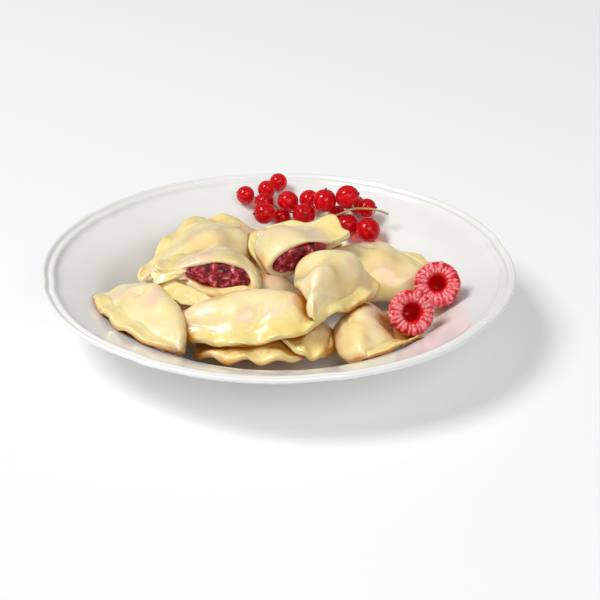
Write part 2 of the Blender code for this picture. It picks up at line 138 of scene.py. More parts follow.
def porcelain_finish():
    finish, shader, add = new_finish("porcelain")
    place = object_place(add)
    clouds = add("ShaderNodeTexNoise", Vector=place, Scale=18.0, Detail=3.0).outputs["Fac"]
    tint = shades(add, clouds, ((0.35, (0.80, 0.80, 0.775)), (0.65, (0.83, 0.83, 0.81))))
    join_to(finish, tint, shader.inputs["Base Color"])
    ripple = add("ShaderNodeTexNoise", Vector=place, Scale=60.0, Detail=2.0).outputs["Fac"]
    bump = add("ShaderNodeBump", Height=ripple, Strength=0.12, Distance=0.0004)
    join_to(finish, bump.outputs["Normal"], shader.inputs["Normal"])
    gloss = add("ShaderNodeTexNoise", Vector=place, Scale=35.0, Detail=4.0).outputs["Fac"]
    rough = add("ShaderNodeMapRange", Value=gloss, To_Min=0.16, To_Max=0.26).outputs["Result"]
    join_to(finish, rough, shader.inputs["Roughness"])
    shader.inputs["Coat Weight"].default_value = 0.5
    shader.inputs["Coat Roughness"].default_value = 0.06
    shader.inputs["Subsurface Weight"].default_value = 0.15
    shader.inputs["Subsurface Radius"].default_value = (0.004, 0.004, 0.0035)
    shader.inputs["Subsurface Scale"].default_value = 1.0
    return finish


plate_shape = bmesh.new()
outline = [plate_shape.verts.new((radius * mm * plate_scale, 0.0, height * mm))
           for radius, height in plate_outline]
outline_edges = [plate_shape.edges.new(pair) for pair in zip(outline, outline[1:])]
bmesh.ops.spin(plate_shape, geom=outline + outline_edges, cent=(0, 0, 0), axis=(0, 0, 1),
               angle=2.0 * math.pi, steps=plate_steps, use_merge=True, use_duplicate=False)
bmesh.ops.remove_doubles(plate_shape, verts=plate_shape.verts, dist=0.00001)
for corner in plate_shape.verts:
    reach = math.hypot(corner.co.x, corner.co.y)
    if reach > 0.0:
        swing = lobe_swing(math.atan2(corner.co.y, corner.co.x)) * smooth_step(90.0, 104.0, reach / mm)
        corner.co.xy *= 1.0 + swing * mm / reach
bmesh.ops.recalc_face_normals(plate_shape, faces=plate_shape.faces)
plate = new_piece("plate_glazed", plate_shape)
plate.data.materials.append(porcelain_finish())
rounding = plate.modifiers.new("rounding", "SUBSURF")
rounding.levels = rounding.render_levels = 1
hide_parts("plate")
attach(plate, "root")

# ---- Whole dumplings --------------------------------------------------------------------
# Half-moons of thin wheat dough, folded over a spoonful of berry filling, pressed shut along
# the rim and boiled. They lie wet and limp on each other, with the filling pink under the skin.

rounding_levels = 3
seam_thin = (3.0, 7.5)        # depth of dough where it counts as pressed seam, and as belly
seam_wave = 1.15              # how far the pressed seam waves up and down, in mm
seam_wave_length = 8.0        # from one wave of the seam to the next, about
seam_edge = 1.0               # how far its edge runs in and out
belly_lumps = 0.75            # height of the lumps that the filling makes
seam_crease = 0.55            # the dip between belly and seam
pleat_height = 0.5            # small folds that run from the seam up the belly
far_off = 60.0                # stands for a depth or distance beyond anything that matters here

# Each whole dumpling and the number that makes its own lumps and waves.
whole_dumplings = (
    ("dumpling_left", 1), ("dumpling_front", 2), ("dumpling_front_right", 3), ("dumpling_front_gap", 4),
    ("dumpling_back_right", 5), ("dumpling_back_left", 6), ("dumpling_middle", 7), ("dumpling_long", 8),
    ("dumpling_right", 9), ("dumpling_back", 10),
)

# Lumps of filling (+) and creases or finger marks (-): place, reach and height, in mm.
hand_marks = {
    "dumpling_left": (
        ((-67, -31, 33), 5.5, 1.7), ((-56, -33, 36), 5.5, 1.6), ((-61.5, -34, 35), 3.0, -1.8),
        ((-53, -42, 35), 5.0, 0.8), ((-78, -15, 26.5), 5.0, -0.9), ((-72, -36, 30), 4.5, -1.1),
        ((-67, -50, 29), 4.5, -1.1), ((-58, -60, 28.5), 4.5, -0.9),
        ((-52, -52, 33), 6.0, -1.2)),
    "dumpling_back_left": (
        ((-32, 23, 35), 7.0, 1.6), ((-19, 33, 33), 5.0, 1.0), ((-38, 34, 36), 5.0, -1.1),
        ((-49, 26, 32), 5.5, -1.0), ((-24, 46, 33), 5.0, -1.0), ((-58, 12, 31), 4.5, -1.2)),
    "dumpling_long": (
        ((-33, -50, 32), 7.5, 1.3), ((-27, -43, 37), 4.0, -0.9), ((-14, -50, 36), 9.0, 0.9),
        ((6, -53, 34), 8.0, 0.8),
        ((-31, -58, 27), 4.0, -0.9), ((-14, -59, 28.5), 4.5, -0.9), ((3, -59.5, 30), 4.5, -0.8)),
    "dumpling_right": (
        ((12, -48, 41), 4.5, -1.3),
        ((23, -42, 44), 6.5, 1.1), ((23, -51, 35), 4.0, -1.2),
        ((32, -40, 36), 4.5, -1.1), ((17, -50, 38), 4.0, 0.8)),
    "dumpling_front_right": (
        ((45, -38, 33), 6.0, 1.6), ((33.5, -49, 29.5), 4.0, -1.5), ((39.5, -62, 28), 4.0, -1.1),
        ((40, -49, 31), 5.0, 0.8)),
    "dumpling_front": (
        ((-12, -64, 23), 3.6, -2.0), ((-12, -69, 21), 3.2, -1.6), ((-21, -61, 21), 6.0, 1.2),
        ((-1, -61, 21), 7.0, 1.1)),
    "dumpling_back_right": (
        ((50, 30, 30), 4.5, 2.2), ((51, 19, 32), 4.0, 1.6), ((43, 17, 33), 5.5, -2.0),
        ((58, 9, 31), 5.5, -1.8), ((33, 12, 33), 7.0, 1.2), ((61, 22, 27), 5.0, -1.6),
        ((66, 3, 27), 5.0, 0.9), ((48, 5, 32), 5.0, 0.8)),
    "dumpling_middle": (
        ((-2, -15, 26), 14.0, 6.5), ((-22, -15, 27), 13.0, 3.5), ((-46, -14, 19), 9.5, 5.5),
        ((5, -20, 24), 3.5, -1.0)),
    "dumpling_front_gap": (((24, -48, 20), 8.0, 3.0), ((16, -56, 20), 5.0, -0.8)),
    "dumpling_torn_left": (
        ((-35, -21, 46), 6.0, 0.8), ((-50, -24, 43), 3.2, -0.8),
        ((-42, -30, 31), 6.0, 3.0), ((-27, -30, 31), 7.0, 2.0)),
    "dumpling_torn_right": (
        ((3, -4, 49), 6.5, 1.3), ((12, 11, 46), 4.0, -1.3), ((21, 8, 47), 4.5, 1.2)),
}

# Where the limp dough is drawn out or hangs down: place, reach and way, in mm.
drawn_out = {
    "dumpling_long": (((-43, -48, 27), 9.0, (-6.5, -1.5, -0.5)), ((22, -52, 28), 7.0, (2.0, 0.0, 1.5))),
    "dumpling_left": (((-80, -20, 26), 8.0, (-1.5, 0.0, -0.5)),),
    "dumpling_middle": (((-44, -19, 20), 10.0, (-5.0, -2.5, 2.0)),),
    "dumpling_right": (((13, -27, 49), 10.0, (3.0, 1.5, -6.5)), ((33, -25, 44), 9.0, (1.5, 3.0, 3.0))),
}

# How much of its wave and crease a seam has, where it is calmer than the rest.
calm_seams = {"dumpling_torn_left": 0.25, "dumpling_front": 0.35, "dumpling_front_gap": 0.6}

# Ways to look out from a place, to tell how far its neighbours shut it in, which sets the
# painted shade that darkens the dough in its nooks.
nook_reach = 15.0 * mm
nook_looks = [Vector((math.cos(turn) * 0.75, math.sin(turn) * 0.75, 0.66))
              for turn in (0.3, 1.55, 2.8, 4.1, 5.35)]
nook_looks.append(Vector((0.0, 0.0, 1.0)))


def all_solids():
    """One search tree of every CAD solid, to see what lies close to a place."""
    heap = bmesh.new()
    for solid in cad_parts.values():
        heap.from_mesh(solid.data)
    tree = BVHTree.FromBMesh(heap)
    heap.free()
    return tree


solids_tree = all_solids()


def nook_depth(place, normal):
    """How far a place is shut in by its neighbours, from 0 in the open to 1, for painted shade."""
    turn = normal.to_track_quat("Z", "Y")
    start = place + normal * 0.9 * mm
    shut = 0.0
    for look in nook_looks:
        hit = solids_tree.ray_cast(start, turn @ look, nook_reach)
        if hit[3] is not None:
            shut += 1.0 - hit[3] / nook_reach
    return shut / len(nook_looks)


def mark_value(add, label):
    node = add("ShaderNodeAttribute")
    node.attribute_name = label
    return node.outputs["Fac"]


def blend_colours(finish, add, share, first, second):
    node = add("ShaderNodeMix")
    node.data_type = "RGBA"
    for source, key in ((share, 0), (first, 6), (second, 7)):
        join_to(finish, source, node.inputs[key])
    return node.outputs[2]


def evaluated_mesh(piece):
    bpy.context.view_layer.update()
    return bpy.data.meshes.new_from_object(piece.evaluated_get(bpy.context.evaluated_depsgraph_get()))


def rounded_copy(node, name, levels):
    """A finely divided, rounded copy of a CAD solid that keeps the solid's fullness."""
    shape = bmesh.new()
    shape.from_mesh(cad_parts[node].data)
    bmesh.ops.remove_doubles(shape, verts=shape.verts, dist=0.00001)
    bmesh.ops.join_triangles(shape, faces=shape.faces, angle_face_threshold=math.radians(70.0),
                             angle_shape_threshold=math.radians(70.0))
    piece = new_piece(name, shape)
    piece.data.materials.clear()
    rounder = piece.modifiers.new("rounder", "SUBSURF")
    rounder.levels = rounder.render_levels = levels
    wanted = [corner.co.copy() for corner in piece.data.vertices]
    for attempt in range(2):
        shrunk = evaluated_mesh(piece)
        gaps = [aim - corner.co for aim, corner in zip(wanted, shrunk.vertices)]
        for corner, gap in zip(piece.data.vertices, gaps):
            corner.co += 0.85 * gap
        bpy.data.meshes.remove(shrunk)
    rounded = evaluated_mesh(piece)
    piece.modifiers.clear()
    piece.data = rounded
    rounded.shade_smooth()
    return piece


def flat_way(mesh):
    """Middle of a piece and the direction across its seam plane, which is its thinnest way."""
    spots = [corner.co / mm for corner in mesh.vertices]
    middle = sum(spots, Vector()) / len(spots)
    spread = Matrix(((0.0,) * 3,) * 3)
    for spot in spots:
        arm = spot - middle
        spread += Matrix([arm * arm[axis] for axis in range(3)])
    thin_way = Vector((0.1, 0.2, 1.0))
    narrow = spread.inverted()
    for turn in range(30):
        thin_way = (narrow @ thin_way).normalized()
    return middle, thin_way if thin_way.z > 0.0 else -thin_way


def surface_tree(mesh):
    return BVHTree.FromPolygons([corner.co for corner in mesh.vertices],
                                [face.vertices for face in mesh.polygons])


def dough_depths(mesh):
    """How thick the dough is under each point, in mm."""
    tree = surface_tree(mesh)
    depths = []
    for corner in mesh.vertices:
        inward = -corner.normal
        hit = tree.ray_cast(corner.co + inward * 0.0001, inward)
        depths.append(far_off if hit[3] is None else hit[3] / mm)
    return depths


def marks_height(marks, spot):
    return sum(height * math.exp(-((spot - Vector(place)).length / reach) ** 2)
               for place, reach, height in marks)


def filling_reach(node):
    """A function that tells how far a place is from this dumpling's bare filling, in mm."""
    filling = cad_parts.get(node + "_filling")
    if filling is None:
        return lambda place: far_off
    tree = surface_tree(filling.data)
    return lambda place: tree.find_nearest(place)[3] / mm


def draw_way(pulls, spot):
    way = Vector()
    for place, reach, pull in pulls:
        way += Vector(pull) * math.exp(-((spot - Vector(place)).length / reach) ** 2)
    return way


def knead(piece, node, seed):
    """Give a dumpling its lumps, creases, pleats and waving seam; note thin dough and painted nook
    shade.
    """
    mesh = piece.data
    reach = filling_reach(node)
    middle, thin_way = flat_way(mesh)
    marks = hand_marks.get(node, ())
    pulls = drawn_out.get(node, ())
    calm = calm_seams.get(node, 1.0)
    shift = Vector((3.1, -7.7, 5.3)) * seed
    thin_marks, lump_marks, nook_shade_marks, moves = [], [], [], []
    for corner, depth in zip(mesh.vertices, dough_depths(mesh)):
        spot = corner.co / mm
        from_filling = reach(corner.co)
        off_mouth = smooth_step(2.5, 7.0, from_filling)
        thin = (1.0 - smooth_step(*seam_thin, depth)) * off_mouth
        root = smooth_step(3.5, 7.0, depth) * (1.0 - smooth_step(9.0, 15.0, depth)) * off_mouth
        level = spot - thin_way * (spot - middle).dot(thin_way)
        outward = (level - middle).normalized()
        lumps = belly_lumps * noise.noise(spot / 10.0 + shift) * (1.0 - thin)
        pleats = calm * root * (seam_crease + pleat_height * abs(noise.noise(level / 3.4 + shift)))
        wave = calm * seam_wave * noise.noise(level / seam_wave_length + shift) * thin
        edge = calm * seam_edge * noise.noise(level / 4.2 - shift) * thin
        fine = 0.07 * noise.noise(spot / 2.2 + shift)
        height = lumps - pleats + fine + 0.2 + marks_height(marks, spot) * (1.0 - 0.5 * thin)
        if from_filling < 5.0:
            height = max(height, 0.15)
        drawn = draw_way(pulls, spot)
        moves.append((corner.normal * height + thin_way * wave + outward * edge + drawn) * mm)
        thin_marks.append(thin)
        nook_shade_marks.append(nook_depth(corner.co, corner.normal))
        stain = 0.6 * (1.0 - smooth_step(0.8, 3.4, from_filling))
        swell = 0.6 * noise.noise(spot / 8.0 + shift)
        lump_marks.append(0.5 + swell + 0.2 * marks_height(marks, spot) + stain)
    for corner, move in zip(mesh.vertices, moves):
        corner.co += move
    for label, values in (("thin", thin_marks), ("lump", lump_marks), ("nook", nook_shade_marks)):
        mesh.attributes.new(label, "FLOAT", "POINT").data.foreach_set("value", values)
    mesh.update()


def dough_finish(name, seed):
    finish, shader, add = new_finish(name)
    mapping = add("ShaderNodeMapping", Vector=object_place(add))
    mapping.inputs["Location"].default_value = (0.37 * seed, 0.11 * seed, 0.0)
    place = mapping.outputs["Vector"]
    patches = add("ShaderNodeTexNoise", Vector=place, Scale=55.0, Detail=3.0).outputs["Fac"]
    plain = shades(add, patches, ((0.35, (0.86, 0.67, 0.29)), (0.50, (0.88, 0.73, 0.38)),
                                  (0.66, (0.90, 0.78, 0.48))))
    stained = shades(add, patches, ((0.35, (0.86, 0.66, 0.42)), (0.65, (0.84, 0.57, 0.43))))
    pressed = shades(add, patches, ((0.35, (0.86, 0.66, 0.22)), (0.65, (0.90, 0.74, 0.36))))
    stain = shades(add, mark_value(add, "lump"), ((0.56, (0.0, 0.0, 0.0)), (0.95, (0.85, 0.85, 0.85))))
    belly = blend_colours(finish, add, stain, plain, stained)
    open_dough = blend_colours(finish, add, mark_value(add, "thin"), belly, pressed)
    # Painted shade: where the nook mark is high, the dough turns a dark orange-brown, as the gaps
    # between dumplings look in shade.
    painted_nook_shade = shades(add, patches, ((0.35, (0.44, 0.15, 0.008)), (0.65, (0.58, 0.24, 0.025))))
    nook_shade_share = shades(add, mark_value(add, "nook"), ((0.04, (0.0, 0.0, 0.0)), (0.16, (0.30, 0.30, 0.30)),
                                                   (0.38, (1.0, 1.0, 1.0))))
    colour = blend_colours(finish, add, nook_shade_share, open_dough, painted_nook_shade)
    join_to(finish, colour, shader.inputs["Base Color"])
    wet = add("ShaderNodeTexNoise", Vector=place, Scale=80.0, Detail=4.0).outputs["Fac"]
    rough = add("ShaderNodeMapRange", Value=wet, From_Min=0.35, From_Max=0.65, To_Min=0.20, To_Max=0.46)
    join_to(finish, rough.outputs["Result"], shader.inputs["Roughness"])
    grain = add("ShaderNodeTexNoise", Vector=place, Scale=500.0, Detail=3.0).outputs["Fac"]
    waves = add("ShaderNodeTexNoise", Vector=place, Scale=170.0, Detail=2.0).outputs["Fac"]
    fine = add("ShaderNodeBump", Height=grain, Strength=0.10, Distance=0.0003)
    bump = add("ShaderNodeBump", Height=waves, Strength=0.16, Distance=0.0007,
               Normal=fine.outputs["Normal"])
    join_to(finish, bump.outputs["Normal"], shader.inputs["Normal"])
    shader.inputs["Subsurface Weight"].default_value = 0.3
    shader.inputs["Subsurface Radius"].default_value = (0.0045, 0.0024, 0.0008)
    shader.inputs["Subsurface Scale"].default_value = 1.0
    shader.inputs["Specular IOR Level"].default_value = 0.5
    shader.inputs["Coat Weight"].default_value = 0.45
    shader.inputs["Coat Roughness"].default_value = 0.12
    return finish


def dress_dumpling(node, seed):
    dumpling = rounded_copy(node, node + "_soft", rounding_levels)
    knead(dumpling, node, seed)
    dumpling.data.materials.append(dough_finish(node + "_dough", seed))
    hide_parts(node)
    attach(dumpling, "root")


for node, seed in whole_dumplings:
    dress_dumpling(node, seed)

# ---- Torn dumplings ---------------------------------------------------------------------
# Two dumplings pulled apart by hand. The dough round the tear is soft and uneven, and the
# filling fills the hollow up to its mouth.

for node, seed in (("dumpling_torn_left", 11), ("dumpling_torn_right", 12)):
    dress_dumpling(node, seed)

# A loose flap of the torn seam hangs under the left one's mouth.
flap_top = ((-57.0, -22.0, 39.5), (-48.0, -26.0, 36.5), (-39.0, -28.0, 34.0), (-27.0, -28.0, 33.0),
            (-14.0, -26.0, 34.0))
flap_edge = ((-57.5, -24.0, 37.5), (-50.5, -30.0, 31.5), (-42.0, -33.5, 28.0), (-29.0, -32.5, 28.5),
             (-13.5, -26.5, 33.0))
flap_steps = (48, 12)
flap_thick = 1.7
flap_thinness = 0.9           # how much its dough looks like pressed seam


def along_curve(knots, share):
    """A place on the smooth curve through a few knots."""
    reach = share * (len(knots) - 1)
    index = min(int(reach), len(knots) - 2)
    part = reach - index
    near = [Vector(knots[min(max(index + step, 0), len(knots) - 1)]) for step in (-1, 0, 1, 2)]
    bend = 2.0 * near[0] - 5.0 * near[1] + 4.0 * near[2] - near[3]
    twist = 3.0 * (near[1] - near[2]) + near[3] - near[0]
    return near[1] + 0.5 * part * (near[2] - near[0] + part * (bend + part * twist))


flap_shape = bmesh.new()
bmesh.ops.create_grid(flap_shape, x_segments=flap_steps[0], y_segments=flap_steps[1], size=0.5)
for corner in flap_shape.verts:
    share, drop = corner.co.x + 0.5, corner.co.y + 0.5
    spot = along_curve(flap_top, share).lerp(along_curve(flap_edge, share), drop)
    swell = 0.9 * math.sin(math.pi * drop) * math.sin(math.pi * share)
    swell += 0.8 * drop * noise.noise(spot / 4.5)
    ripple = Vector((0.0, 0.0, 1.0)) * drop * noise.noise(spot / 3.0)
    corner.co = (spot + Vector((0.0, -0.8, 0.6)) * swell + ripple) * mm
bmesh.ops.recalc_face_normals(flap_shape, faces=flap_shape.faces)
bmesh.ops.solidify(flap_shape, geom=flap_shape.faces[:], thickness=flap_thick * mm)
flap_thin = flap_shape.verts.layers.float.new("thin")
for corner in flap_shape.verts:
    corner[flap_thin] = flap_thinness
flap = new_piece("dumpling_torn_left_flap", flap_shape)
flap.data.materials.append(bpy.data.materials["dumpling_torn_left_dough"])
flap_rounding = flap.modifiers.new("rounding", "SUBSURF")
flap_rounding.levels = flap_rounding.render_levels = 1
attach(flap, "root")

# ---- Filling ----------------------------------------------------------------------------
# Crushed dark berries with a little sugar and starch: a moist, lumpy crimson mass with paler
# grains, packed inside the torn halves.

grain_height = 0.9            # in mm
filling_levels = 4


def filling_finish():
    finish, shader, add = new_finish("berry_filling")
    place = object_place(add)
    grains = add("ShaderNodeTexNoise", Vector=place, Scale=900.0, Detail=3.0).outputs["Fac"]
    blotches = add("ShaderNodeTexNoise", Vector=place, Scale=250.0, Detail=4.0, Distortion=0.6)
    blotches = blotches.outputs["Fac"]
    colour = shades(add, blotches, ((0.36, (0.09, 0.001, 0.006)), (0.46, (0.26, 0.003, 0.016)),
                                    (0.54, (0.45, 0.010, 0.035)), (0.60, (0.64, 0.12, 0.18)),
                                    (0.68, (0.85, 0.52, 0.56))))
    join_to(finish, colour, shader.inputs["Base Color"])
    bump = add("ShaderNodeBump", Height=grains, Strength=0.5, Distance=0.0005)
    join_to(finish, bump.outputs["Normal"], shader.inputs["Normal"])
    shader.inputs["Roughness"].default_value = 0.34
    shader.inputs["Subsurface Weight"].default_value = 0.25
    shader.inputs["Subsurface Radius"].default_value = (0.003, 0.0007, 0.0009)
    shader.inputs["Subsurface Scale"].default_value = 1.0
    return finish


berry_mass = filling_finish()
for node in ("dumpling_torn_left_filling", "dumpling_torn_right_filling"):
    filling = rounded_copy(node, node + "_grainy", filling_levels)
    moves = []
    for corner in filling.data.vertices:
        spot = corner.co / mm
        chunks = 1.1 * noise.noise(spot / 2.6) + 0.7 * abs(noise.noise(spot / 1.5))
        chunks += 0.3 * noise.noise(spot / 0.7)
        moves.append(corner.normal * (chunks * grain_height + 0.5) * mm)
    for corner, move in zip(filling.data.vertices, moves):
        corner.co += move
    filling.data.update()
    filling.data.materials.append(berry_mass)
    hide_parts(node)
    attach(filling, "root")

# ---- Currants ---------------------------------------------------------------------------
# Ripe red currants on their sprig: taut, glassy skins with faint pale lines from pole to pole,
# and a dry brown tuft where the flower was.


def currant_finish():
    finish, shader, add = new_finish("currant_skin")
    around = add("ShaderNodeUVMap").outputs["UV"]
    stripes = add("ShaderNodeTexWave", Vector=around, Scale=3.2, Distortion=1.4, Detail=1.0)
    stripes.wave_type = "BANDS"
    colour = shades(add, stripes.outputs["Fac"], ((0.0, (0.74, 0.001, 0.008)),
                                                  (0.8, (0.82, 0.003, 0.014)),
                                                  (1.0, (0.90, 0.03, 0.035))))
    join_to(finish, colour, shader.inputs["Base Color"])
    shader.inputs["Roughness"].default_value = 0.08
    shader.inputs["Transmission Weight"].default_value = 0.55
    shader.inputs["IOR"].default_value = 1.34
    shader.inputs["Specular IOR Level"].default_value = 0.38
    shader.inputs["Subsurface Weight"].default_value = 0.5
    shader.inputs["Subsurface Radius"].default_value = (0.005, 0.0004, 0.0004)
    shader.inputs["Subsurface Scale"].default_value = 1.0
    return finish


def tuft_finish():
    finish, shader, add = new_finish("dry_flower")
    grain = add("ShaderNodeTexNoise", Vector=object_place(add), Scale=900.0, Detail=3.0).outputs["Fac"]
    colour = shades(add, grain, ((0.35, (0.035, 0.015, 0.008)), (0.7, (0.16, 0.08, 0.03))))
    join_to(finish, colour, shader.inputs["Base Color"])
    shader.inputs["Roughness"].default_value = 0.8
    return finish


skin = currant_finish()
dry_flower = tuft_finish()
currant_count = 16
pole_dimple = 0.03            # how far a skin dips in at its poles, as a share of its radius
flower_widths = (0.16, 0.07)  # of the dry flower, low and high, as shares of the berry's radius
flower_height = 0.22
sprig_middle = Vector((12.0, 74.0, 27.0)) * mm
# Berries whose dry flower is turned towards the front, and which way it looks.
flower_looks = {10: (-0.25, -0.9, 0.2), 15: (-0.25, -0.95, -0.15), 16: (0.4, -0.3, -0.8),
                13: (0.1, 0.2, 1.0)}


def currant_ball(number):
    """Node name, middle and radius of a currant."""
    node = f"currant_{number:02d}"
    low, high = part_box(node)
    return node, (low + high) / 2.0, (high.z - low.z) / 2.0


for number in range(1, currant_count + 1):
    node, middle, radius = currant_ball(number)
    look = Vector(flower_looks.get(number, middle - sprig_middle)).normalized()
    turn = look.to_track_quat("Z", "Y").to_matrix().to_4x4()
    berry_shape = bmesh.new()
    berry_shape.loops.layers.uv.new("around")
    bmesh.ops.create_uvsphere(berry_shape, u_segments=48, v_segments=32, radius=radius, calc_uvs=True)
    for corner in berry_shape.verts:
        pole = abs(corner.co.z) / radius
        corner.co *= 1.0 - pole_dimple * smooth_step(0.9, 1.0, pole)
    bmesh.ops.transform(berry_shape, matrix=Matrix.Translation(middle) @ turn, verts=berry_shape.verts)
    berry = new_piece(node + "_skin", berry_shape)
    berry.data.materials.append(skin)
    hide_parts(node)
    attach(berry, "root")

    tuft_shape = bmesh.new()
    bmesh.ops.create_cone(tuft_shape, cap_ends=True, segments=10, radius1=flower_widths[0] * radius,
                          radius2=flower_widths[1] * radius, depth=flower_height * radius)
    bmesh.ops.translate(tuft_shape, verts=tuft_shape.verts, vec=(0.0, 0.0, radius))
    for corner in tuft_shape.verts:
        corner.co.xy *= 1.0 + 0.5 * noise.noise(corner.co / (0.4 * mm))
    bmesh.ops.transform(tuft_shape, matrix=Matrix.Translation(middle) @ turn, verts=tuft_shape.verts)
    tuft = new_piece(node + "_flower", tuft_shape)
    tuft.data.materials.append(dry_flower)
    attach(tuft, "root")

# ---- Stalk and stems --------------------------------------------------------------------
# The green-brown stalk of the sprig runs behind the berries and comes out on the right. A thin
# stem branches off to each berry.

# Way of the stalk from its free end, and its half width along it, in mm.
stalk_way = ((55.6, 57.0, 32.7), (53.6, 57.8, 33.4), (48.6, 59.5, 34.6), (42.4, 60.5, 34.4),
             (38.0, 60.6, 34.6), (33.0, 63.0, 31.0), (27.0, 66.0, 27.0), (18.0, 71.0, 26.5),
             (8.0, 73.5, 25.5), (-1.0, 78.0, 27.5), (-5.0, 84.0, 28.0), (-4.0, 91.0, 30.5))
stalk_width = (0.85, 0.6, 0.55, 0.6, 0.65, 0.55, 0.5, 0.5, 0.45, 0.45, 0.4, 0.35)
stem_widths = (0.45, 0.3, 0.38)   # half width of a stem at the berry, midway and at the stalk
stem_arch = 0.8                   # how far a stem bows upwards


def stem_finish():
    finish, shader, add = new_finish("dry_stem")
    streaks = add("ShaderNodeTexNoise", Vector=object_place(add), Scale=420.0, Detail=4.0).outputs["Fac"]
    colour = shades(add, streaks, ((0.3, (0.30, 0.20, 0.07)), (0.55, (0.52, 0.40, 0.17)),
                                   (0.75, (0.62, 0.50, 0.24))))
    join_to(finish, colour, shader.inputs["Base Color"])
    bump = add("ShaderNodeBump", Height=streaks, Strength=0.4, Distance=0.0002)
    join_to(finish, bump.outputs["Normal"], shader.inputs["Normal"])
    shader.inputs["Roughness"].default_value = 0.6
    shader.inputs["Subsurface Weight"].default_value = 0.2
    shader.inputs["Subsurface Radius"].default_value = (0.001, 0.0008, 0.0003)
    return finish


def add_tube(shape, spots, widths, sides=10):
    """Sweep a ring along a way of points, and close both ends."""
    rings = []
    for index, (spot, width) in enumerate(zip(spots, widths)):
        ahead = spots[min(index + 1, len(spots) - 1)] - spots[max(index - 1, 0)]
        ring = bmesh.ops.create_circle(shape, cap_ends=False, segments=sides, radius=width)["verts"]
        turn = Matrix.Translation(spot) @ ahead.to_track_quat("Z", "Y").to_matrix().to_4x4()
        bmesh.ops.transform(shape, matrix=turn, verts=ring)
        rings.append(ring)
    for here, there in zip(rings, rings[1:]):
        around = {edge for corner in here + there for edge in corner.link_edges
                  if edge.other_vert(corner) in here + there}
        bmesh.ops.bridge_loops(shape, edges=list(around))
    for end in (rings[0], rings[-1]):
        bmesh.ops.contextual_create(shape, geom=end)
    bmesh.ops.recalc_face_normals(shape, faces=shape.faces)


stem_green = stem_finish()
stalk_shape = bmesh.new()
add_tube(stalk_shape, [Vector(spot) * mm for spot in stalk_way], [width * mm for width in stalk_width])
stalk = new_piece("currant_stalk_bark", stalk_shape)
stalk.data.materials.append(stem_green)
stalk_rounding = stalk.modifiers.new("rounding", "SUBSURF")
stalk_rounding.levels = stalk_rounding.render_levels = 2
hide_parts("currant_stalk")
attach(stalk, "root")

stem_shape = bmesh.new()
for number in range(1, currant_count + 1):
    node, middle, radius = currant_ball(number)
    knots = [Vector(spot) * mm for spot in stalk_way[2:]]
    knot = min(knots, key=lambda spot: (spot - middle).length)
    toward = (knot - middle).normalized()
    start = middle + toward * radius * 0.98
    bow = (start + knot) / 2.0 + Vector((0.0, 0.0, stem_arch * mm))
    add_tube(stem_shape, [start, bow, knot], [width * mm for width in stem_widths], sides=8)
stems = new_piece("currant_stems", stem_shape)
stems.data.materials.append(stem_green)
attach(stems, "root")

# ---- Raspberries ------------------------------------------------------------------------
# Two picked raspberries with their open ends up: a cup of small round drupelets with speckled pale
# bloom, painted lighter on their outer and upper sides and darker where they meet, round a deep red
# hollow where the core was.

# Each berry's place and turn, the radius and length of its cup, the radius of its hollow, and a
# number that makes its own unevenness, in mm and degrees.
raspberries = (
    ("raspberry_front", (59.5, -49.0, 32.5), (62.0, 0.0, 14.0), 10.6, 17.0, 4.6, 21),
    ("raspberry_back", (72.6, -21.3, 33.4), (50.0, 0.0, -5.0), 11.0, 18.0, 4.2, 22),
)
drupelet = 1.75               # radius of one drupelet, in mm
rim_count = 23                # long drupelets round the open end
row_shares = (0.10, 0.21, 0.32, 0.43, 0.54, 0.65, 0.75, 0.85, 0.94)


def drupelet_finish():
    finish, shader, add = new_finish("raspberry_drupelets")
    place = object_place(add)
    mottle = add("ShaderNodeTexNoise", Vector=place, Scale=900.0, Detail=4.0).outputs["Fac"]
    frost = add("ShaderNodeMapRange", Value=mottle, From_Min=0.38, From_Max=0.66,
                To_Min=-0.22, To_Max=0.18)
    # Painted light and shade: the outward mark lightens each drupelet's outer and upper side and darkens
    # where it meets its neighbours; the noise adds speckled pale bloom.
    spread = add("ShaderNodeMath")
    spread.operation = "ADD"
    join_to(finish, frost.outputs["Result"], spread.inputs[0])
    join_to(finish, mark_value(add, "outward"), spread.inputs[1])
    colour = shades(add, spread.outputs[0], ((0.30, (0.55, 0.002, 0.012)), (0.58, (0.82, 0.020, 0.038)),
                                             (0.80, (0.90, 0.09, 0.11)), (1.0, (0.95, 0.30, 0.31))))
    join_to(finish, colour, shader.inputs["Base Color"])
    bump = add("ShaderNodeBump", Height=mottle, Strength=0.2, Distance=0.0003)
    join_to(finish, bump.outputs["Normal"], shader.inputs["Normal"])
    shader.inputs["Roughness"].default_value = 0.42
    shader.inputs["Subsurface Weight"].default_value = 0.35
    shader.inputs["Subsurface Radius"].default_value = (0.004, 0.0009, 0.001)
    shader.inputs["Subsurface Scale"].default_value = 1.0
    shader.inputs["Sheen Weight"].default_value = 0.22
    shader.inputs["Sheen Roughness"].default_value = 0.4
    shader.inputs["Sheen Tint"].default_value = (1.0, 0.80, 0.82, 1.0)
    return finish


def hollow_finish():
    finish, shader, add = new_finish("raspberry_hollow")
    mottle = add("ShaderNodeTexNoise", Vector=object_place(add), Scale=380.0, Detail=3.0).outputs["Fac"]
    colour = shades(add, mottle, ((0.3, (0.50, 0.001, 0.004)), (0.7, (0.75, 0.006, 0.012))))
    join_to(finish, colour, shader.inputs["Base Color"])
    bump = add("ShaderNodeBump", Height=mottle, Strength=0.5, Distance=0.0005)
    join_to(finish, bump.outputs["Normal"], shader.inputs["Normal"])
    shader.inputs["Roughness"].default_value = 0.3
    shader.inputs["Subsurface Weight"].default_value = 0.3
    shader.inputs["Subsurface Radius"].default_value = (0.004, 0.0006, 0.0006)
    shader.inputs["Subsurface Scale"].default_value = 1.0
    return finish


